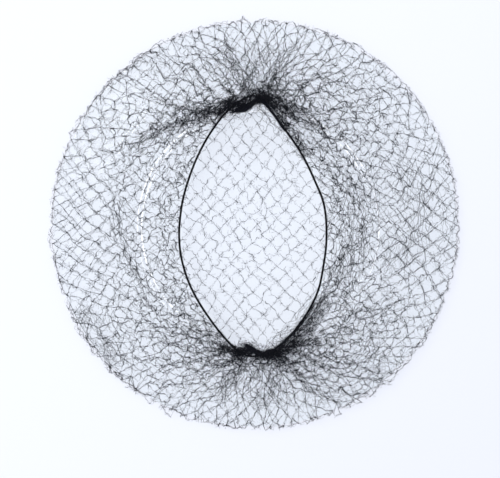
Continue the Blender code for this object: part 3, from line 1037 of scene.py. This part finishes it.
class WIGNET_OT_clear_plate(bpy.types.Operator):
    """Turns the clear plate, upside down on its rim"""

    bl_idname = "wignet.clear_plate"
    bl_label = "Clear plate"
    bl_options = {"UNDO"}

    def execute(self, context):
        plate = context.scene.wig_net.plate
        low, base = PLATE_LOW.z, PLATE_HIGH.z - plate.foot_rise
        outer = plate.foot_radius + plate.foot_width / 2
        inner = plate.foot_radius - plate.foot_width / 2
        wall_top = outer + plate.foot_rise
        wall_foot = plate.radius - plate.rim_width
        rim_top = low + plate.wall
        lip = plate.wall / 4
        corners = (
            # radius, height, rounding
            (0, base, 0),
            (inner - plate.foot_rise, base, 0.0006),
            (inner, PLATE_HIGH.z, 0.0010),
            (outer, PLATE_HIGH.z, 0.0010),
            (wall_top, base, 0.0008),
            (wall_foot, rim_top + plate.rim_rise, 0.0004),
            (plate.radius - lip, rim_top, 0.0005),
            (plate.radius, rim_top - lip, 0.0004),
            (plate.radius, low + lip, 0.0004),
            (plate.radius - lip, low, 0.0004),
            (plate.radius - plate.rim_width / 4, low, 0.0004),
            (wall_foot - plate.wall, low + plate.rim_rise, 0.0004),
            (wall_top - plate.wall, base - plate.wall, 0.0004),
            (0, base - plate.wall, 0),
        )
        # A corner's rounding takes up less than half of the edge on each side of it
        most_rounding, hub, steps = 0.45, 0.0005, 160
        profile = [np.array(corners[0][:2])]
        scuff_and_glint = [(0.0, 0.0)]
        for before, corner, after in zip(corners, corners[1:], corners[2:]):
            at = np.array(corner[:2])
            back, on = np.array(before[:2]) - at, np.array(after[:2]) - at
            back_length, on_length = np.linalg.norm(back), np.linalg.norm(on)
            reach = min(corner[2], most_rounding * back_length, most_rounding * on_length)
            first = at + reach * back / back_length
            last = at + reach * on / on_length
            for share in (0, 0.25, 0.5, 0.75, 1):
                bent = first * (1 - share) ** 2 + 2 * at * share * (1 - share) + last * share**2
                profile.append(bent)
                # The painted glint is a thin line on each edge's side towards the ring's flat top
                scuff_and_glint.append(
                    (
                        float(corner[0] == inner and share == 0.75),
                        float(corner[0] == outer and share == 0.25),
                    )
                )
        profile.append(np.array(corners[-1][:2]))
        scuff_and_glint.append((0.0, 0.0))
        profile = np.array(profile)
        profile[0, 0] = profile[-1, 0] = hub
        turn = 2 * math.pi * np.arange(steps) / steps
        ring = np.stack([np.cos(turn), np.sin(turn)], 1)
        vertices = np.concatenate(
            [
                profile[:, None, :1] * ring[None],
                np.broadcast_to(profile[:, None, 1:], (len(profile), steps, 1)),
            ],
            2,
        )
        number = np.arange(len(profile) * steps).reshape(len(profile), steps)
        here, there = number[:-1], number[1:]
        quads = np.stack([here, there, np.roll(there, -1, 1), np.roll(here, -1, 1)], -1)
        piece = add_piece(
            "clear_plate", vertices.reshape(-1, 3), quads.reshape(-1, 4), moulded_polystyrene(plate)
        )
        # Painted glints: each edge's glint strength by direction, carried to the vertices as an
        # attribute
        direction, *edges = np.transpose(RING_GLINTS)
        scuff_glint = np.array([np.interp(np.degrees(turn), direction, edge) for edge in edges])
        layer = piece.data.attributes.new("scuff_glint", "FLOAT", "POINT")
        layer.data.foreach_set("value", (np.array(scuff_and_glint) @ scuff_glint).astype(np.float32).ravel())
        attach(piece, "root")
        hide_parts("display_plate")
        return {"FINISHED"}


class WIGNET_OT_netting(bpy.types.Operator):
    """Knots the net and stretches it round the plate"""

    bl_idname = "wignet.netting"
    bl_label = "Netting"
    bl_options = {"UNDO"}

    def execute(self, context):
        settings = context.scene.wig_net
        netting = settings.netting
        random = np.random.default_rng(4)
        surface = NetSurface(settings.plate)
        knots, shares, strands, own, held = relaxed_net(surface, netting, settings.elastic, random)
        crumple(knots, strands, held, surface, settings.elastic, random)
        stand_out(knots, held, surface, netting, random)
        above = (knots[strands, 2] > UPPER_NET).any(1)
        # The front is split into four pieces, at these shares of the way across
        side = shares[strands, 0].mean(1)
        left, middle, right = 0.20, 0.5, 0.80
        slack = netting.slack_yarn
        layers = (
            # name, strands, thickness, finer filaments
            ("netting_back", ~above, netting.taut_yarn, 1),
            ("netting_front_left", above & (side < left), slack, 2),
            ("netting_front_inner_left", above & (side >= left) & (side < middle), slack, 2),
            ("netting_front_inner_right", above & (side >= middle) & (side < right), slack, 2),
            ("netting_front_right", above & (side >= right), slack, 2),
        )
        # Thickness of the yarn between its heaps, the mean heap and the highest one, as shares
        thin, mean_heap, most_heap, strand_spread = 0.25, 0.78, 3.4, 0.20
        pieces = []
        yarn_places = []
        for name, part, thickness, finer in layers:
            paths = strand_paths(knots, strands[part], own[part], surface, netting, finer, random)
            yarn_places.append(paths[0].reshape(-1, 3))
            # The crimped filaments heap up in places and lie thin between them
            heaps = np.minimum(thin + random.exponential(mean_heap, paths.shape[:3]), most_heap)
            radii = thickness / 2 * heaps
            radii *= random.uniform(1 - strand_spread, 1 + strand_spread, (*paths.shape[:2], 1))
            radii[1:] *= netting.fine_share
            paths, radii = paths.reshape(-1, *paths.shape[2:]), radii.reshape(-1, paths.shape[2])
            pieces.append((name, tubes(paths, radii, 3)))
        # The knots of the taut back are drawn tighter
        tight = 0.7 * netting.knot
        sizes = np.where(knots[:, 2] > UPPER_NET, netting.knot, tight)
        raised = knots + (0, 0, netting.knot / 2)
        hairs = loose_hairs(np.concatenate(yarn_places), surface, netting, random)
        heaped = []
        for *ends, _, _, count, stray in NET_FOLDS:
            fold = smooth_curve(np.reshape(ends, (3, 2)) * surface.rim, FOLD_STEPS, False)
            strays = np.full(FOLD_STEPS + 1, stray)
            heaped.append(stray_strands(fold, strays, 0, count, surface, random))
        heaped = np.concatenate(heaped)
        pieces += (
            ("netting_knots", knot_blobs(raised, sizes, random)),
            ("netting_hairs", tubes(hairs, netting.hair / 2 * uneven(hairs, random), 3)),
            ("netting_folds", tubes(heaped, 0.7 * netting.hair * uneven(heaped, random), 3)),
        )
        yarn = crimped_nylon(netting)
        for name, mesh in pieces:
            piece = add_piece(name, *mesh, yarn)
            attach(piece, "root")
            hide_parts("netting")
        return {"FINISHED"}


class WIGNET_OT_elastic(bpy.types.Operator):
    """Lays the covered elastic round the mouth"""

    bl_idname = "wignet.elastic"
    bl_label = "Elastic edge"
    bl_options = {"UNDO"}

    def execute(self, context):
        settings = context.scene.wig_net
        elastic = settings.elastic
        surface = NetSurface(settings.plate)
        left, right = mouth_lines(elastic)
        loop = np.vstack([right, left[::-1][1:-1]])
        share = np.arange(ELASTIC_STEPS) / ELASTIC_STEPS
        loop = along(np.vstack([loop, loop[:1]]), share)
        # The elastic is pressed a little into the net, which gives way under it
        sunk, sides = 0.0004, 12
        height = surface.height(loop) - sunk + elastic.thickness / 2
        path = np.column_stack([loop, height])[None]
        radii = np.full(path.shape[:2], elastic.thickness / 2)
        vertices, quads = tubes(path, radii, sides, closed=True)
        length = np.linalg.norm(path[0] - np.roll(path[0], -1, 0), axis=1).sum()
        turns = share * round(length / elastic.cover_pitch)
        around = np.tile(np.arange(sides) / sides, ELASTIC_STEPS)
        count = np.stack([np.repeat(turns, sides) + around, around], 1)
        piece = add_piece("elastic_thread", vertices, quads, covered_elastic(elastic), count)
        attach(piece, "root")
        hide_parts("elastic_edge")
        return {"FINISHED"}


class WIGNET_OT_bunches(bpy.types.Operator):
    """Twists the net's ends into the two bunches"""

    bl_idname = "wignet.bunches"
    bl_label = "Bunched ends"
    bl_options = {"UNDO"}

    def execute(self, context):
        settings = context.scene.wig_net
        bunches, elastic = settings.bunches, settings.elastic
        random = np.random.default_rng(11)
        surface = NetSurface(settings.plate)
        yarn = bpy.data.materials["nylon_yarn_crimped"]
        # Share of a bunch's thickness at its ends, turns of a strand for each turn of its ply,
        # waves of the strands in shares of the radius, and the lean of the loose ends
        least_end, spins, wave, loose_lean = 0.35, 1.5, 0.14, 0.35
        # Rank of a strand, the share by which it runs on, and where the solid cores begin
        least_rank, most_rank, run_on, core_from, core_over = 0.15, 0.95, 0.03, 0.70, 0.20
        rows = (
            # name, node, table, thickness, turns, side that the loose ends lie on
            ("far_bunch", "gather_top", TOP_BUNCH, bunches.top, bunches.top_turns, 1),
            ("near_bunch", "gather_bottom", BOTTOM_BUNCH, bunches.bottom, bunches.bottom_turns, -1),
        )
        for name, node, table, thickness, turns, side in rows:
            table = np.array(table)
            line = np.column_stack([from_mouth(elastic, table[:, :2]), table[:, 2:]])
            line = smooth_curve(line, BUNCH_STEPS, False)
            share = np.arange(BUNCH_STEPS + 1) / BUNCH_STEPS
            body, spread = line[:, 2], line[:, 3]
            radius = body * thickness / 2
            radius *= np.maximum(np.sqrt(1 - np.abs(2 * share - 1) ** 6), least_end)
            height = surface.height(line) + radius * bunches.flatness
            middle = np.column_stack([line[:, :2], height + elastic.thickness / 2])
            ahead = unit(np.gradient(middle, axis=0))
            sideways = unit(np.cross(ahead, (0, 0, 1)))
            over = np.cross(sideways, ahead) * bunches.flatness
            # Two plies wound round each other, each of strands that wind round its own middle
            ply = math.pi * random.integers(0, 2, bunches.strands)[:, None]
            wound = ply + 2 * math.pi * turns * share
            out = PLY_STRANDS * np.sqrt(random.uniform(0.02, 1.0, bunches.strands))[:, None]
            spin = random.uniform(0, 2 * math.pi, bunches.strands)[:, None] + spins * wound
            waves = random.normal(0, wave, (2, bunches.strands, 6))
            ripples = waves @ np.sin(math.pi * np.arange(3, 9)[:, None] * share)
            aside = radius * (PLY_OUT * np.cos(wound) + out * np.cos(spin) + ripples[0])
            above = radius * (PLY_OUT * np.sin(wound) + out * np.sin(spin) + ripples[1])
            paths = middle + aside[..., None] * sideways + above[..., None] * over
            # Each strand keeps the stretch where the bunch is thicker than the strand's own rank
            ranks = random.uniform(least_rank, most_rank, bunches.strands)
            for path, rank in zip(paths, ranks):
                kept = share[body > rank * body.max()]
                ends = max(kept[0] - run_on, 0), min(kept[-1] + run_on, 1)
                inner = np.linspace(*ends, BUNCH_STEPS + 1)
                path[:] = np.stack([np.interp(inner, share, path[:, axis]) for axis in range(3)], 1)
            # Loose ends beside the bunch, which stray further where it runs out along the elastic
            lean, count = loose_lean * side, bunches.loose_ends
            loose = stray_strands(line[:, :2], spread, lean, count, surface, random, BUNCH_STEPS)
            paths = np.concatenate([paths, loose])
            vertices, quads = tubes(paths, BUNCH_YARN_RADIUS * uneven(paths, random), 3)
            # Each ply has a solid core only where the bunch is thick
            thick = np.clip((body - core_from) / core_over, 0, 1)
            plies = np.array((0.0, math.pi))[:, None] + 2 * math.pi * turns * share
            aside = PLY_OUT * radius * np.cos(plies)
            above = PLY_OUT * radius * np.sin(plies)
            cores = middle + aside[..., None] * sideways + above[..., None] * over
            core, core_quads = tubes(cores, np.tile(PLY_CORE * radius * thick, (2, 1)), 10)
            vertices = np.vstack([vertices, core])
            quads = np.vstack([quads, core_quads + len(vertices) - len(core)])
            piece = add_piece(name, vertices, quads, yarn)
            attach(piece, "root")
            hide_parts(node)
        return {"FINISHED"}


class WIGNET_OT_studio(bpy.types.Operator):
    """Sets the pale table, the soft light and the camera"""

    bl_idname = "wignet.studio"
    bl_label = "Table, light and camera"
    bl_options = {"UNDO"}

    def execute(self, context):
        scene = context.scene
        studio = scene.wig_net.studio
        half_table = 3.0
        corners = half_table * np.array(((-1, -1, 0), (1, -1, 0), (1, 1, 0), (-1, 1, 0)))
        table = add_piece("table", corners, np.array(((0, 1, 2, 3),)), opal_acrylic(studio))

        world = bpy.data.worlds.new("bright_room")
        world.use_nodes = True
        sky = world.node_tree.nodes["Background"]
        sky.inputs["Color"].default_value = (*studio.room, 1.0)
        sky.inputs["Strength"].default_value = studio.room_light
        scene.world = world

        lights = (
            # name, place, size, power as a share of the key light, whether the plate mirrors it
            ("key_softbox", (-1.24, 0.98, 1.36), 0.80, 1.00, True),
            ("side_softbox", (1.10, -0.35, 0.75), 0.50, 0.07, True),
            # A polariser keeps the box overhead out of the clear plate's gloss
            ("overhead_softbox", (-0.42, 0.12, 1.45), 0.36, 0.75, False),
            # A weak box that only gives the far left of the rim its sheen
            ("rim_softbox", (-0.47, 0.30, 1.45), 0.50, 0.06, True),
        )
        for name, place, size, power, mirrored in lights:
            lamp = bpy.data.lights.new(name, "AREA")
            lamp.size = size
            lamp.energy = studio.key_light * power
            softbox = bpy.data.objects.new(name, lamp)
            softbox.location = place
            softbox.rotation_euler = Vector(place).to_track_quat("Z", "Y").to_euler()
            softbox.visible_glossy = mirrored
            scene.collection.objects.link(softbox)

        target = Vector((studio.view_x, studio.view_y, 0))
        lean = Vector((math.cos(studio.direction), math.sin(studio.direction), 0))
        back = (lean * math.sin(studio.tilt) + Vector((0, 0, math.cos(studio.tilt)))).normalized()
        right = Vector((0, 1, 0)).cross(back).normalized()
        up = back.cross(right)
        lens = bpy.data.cameras.new("view")
        lens.sensor_width = 36
        lens.lens = lens.sensor_width * studio.distance / studio.view_width
        lens.clip_start, lens.clip_end = 0.01, 20
        camera = bpy.data.objects.new("view", lens)
        camera.matrix_world = Matrix.Translation(target + back * studio.distance) @ Matrix(
            (right, up, back)
        ).transposed().to_4x4()
        scene.collection.objects.link(camera)
        scene.camera = camera
        scene.view_settings.view_transform = "Standard"
        return {"FINISHED"}


class WIGNET_PT_panel(bpy.types.Panel):
    bl_label = "Wig Net"
    bl_idname = "WIGNET_PT_panel"
    bl_space_type = "VIEW_3D"
    bl_region_type = "UI"
    bl_category = "Wig Net"

    def draw(self, context):
        settings = context.scene.wig_net
        for group, operator in GROUPS:
            box = self.layout.box()
            values = getattr(settings, group)
            for name in values.bl_rna.properties.keys():
                if name not in ("rna_type", "name"):
                    box.prop(values, name)
            box.operator(operator)


# Settings shown with each operator, in the order that the pieces are made
GROUPS = (
    # settings, operator
    ("plate", "wignet.clear_plate"),
    ("netting", "wignet.netting"),
    ("elastic", "wignet.elastic"),
    ("bunches", "wignet.bunches"),
    ("studio", "wignet.studio"),
)

CLASSES = (
    ClearPlateSettings,
    ElasticSettings,
    NettingSettings,
    BunchSettings,
    StudioSettings,
    WigNetSettings,
    WIGNET_OT_clear_plate,
    WIGNET_OT_netting,
    WIGNET_OT_elastic,
    WIGNET_OT_bunches,
    WIGNET_OT_studio,
    WIGNET_PT_panel,
)


def register():
    for kind in CLASSES:
        bpy.utils.register_class(kind)
    bpy.types.Scene.wig_net = bpy.props.PointerProperty(type=WigNetSettings)


def unregister():
    del bpy.types.Scene.wig_net
    for kind in reversed(CLASSES):
        bpy.utils.unregister_class(kind)


def main():
    register()
    for _, operator in GROUPS:
        group, name = operator.split(".")
        getattr(getattr(bpy.ops, group), name)()
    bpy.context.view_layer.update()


if __name__ == "__main__":
    main()
